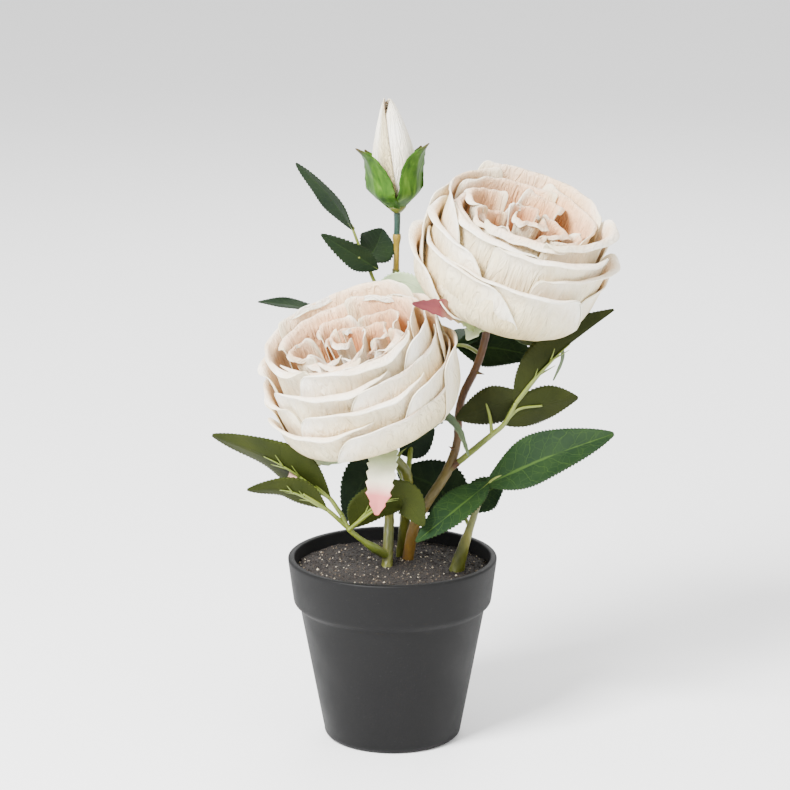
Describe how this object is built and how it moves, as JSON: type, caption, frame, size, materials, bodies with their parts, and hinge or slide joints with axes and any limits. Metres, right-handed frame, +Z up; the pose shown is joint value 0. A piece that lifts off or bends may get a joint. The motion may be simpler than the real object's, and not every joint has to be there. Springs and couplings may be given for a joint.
{
  "type": "artificial potted rose",
  "caption": "Artificial rose plant with open cream blooms, a bud and fabric leaves on moulded stems, standing in a tapered charcoal plastic pot filled with grit.",
  "frame": {"origin": "middle of the pot's flat underside", "axes": "+Z up along the pot's axis, -Y the front, where both blooms tip towards the viewer, +X to the viewer's right"},
  "size_m": [0.2359, 0.1644, 0.379],
  "materials": {
    "pot": "matte",
    "grit": "rough",
    "stem": "satin",
    "woody_stem": "satin",
    "leaf": "satin",
    "husk": "satin",
    "petal": "matte",
    "petal_heart": "matte"
  },
  "bodies": {
    "root": {"pot": "pot", "grit": "grit", "stem_left_rose": "stem", "stem_right_rose": "woody_stem", "stem_bud": "stem", "stem_side": "stem", "rose_left_cup": "petal", "rose_left_heart": "petal_heart", "rose_left_hip": "husk", "rose_right_cup": "petal", "rose_right_heart": "petal_heart", "rose_right_hip": "husk", "bud": "petal", "bud_husk": "husk", "spray_top_left": "leaf", "spray_behind_left_rose": "leaf", "spray_under_left_rose": "leaf", "spray_under_right_rose": "leaf", "spray_right_branch": "leaf", "spray_right_front": "leaf", "spray_back_centre": "leaf", "spray_left": "leaf"}
  },
  "joints": []
}
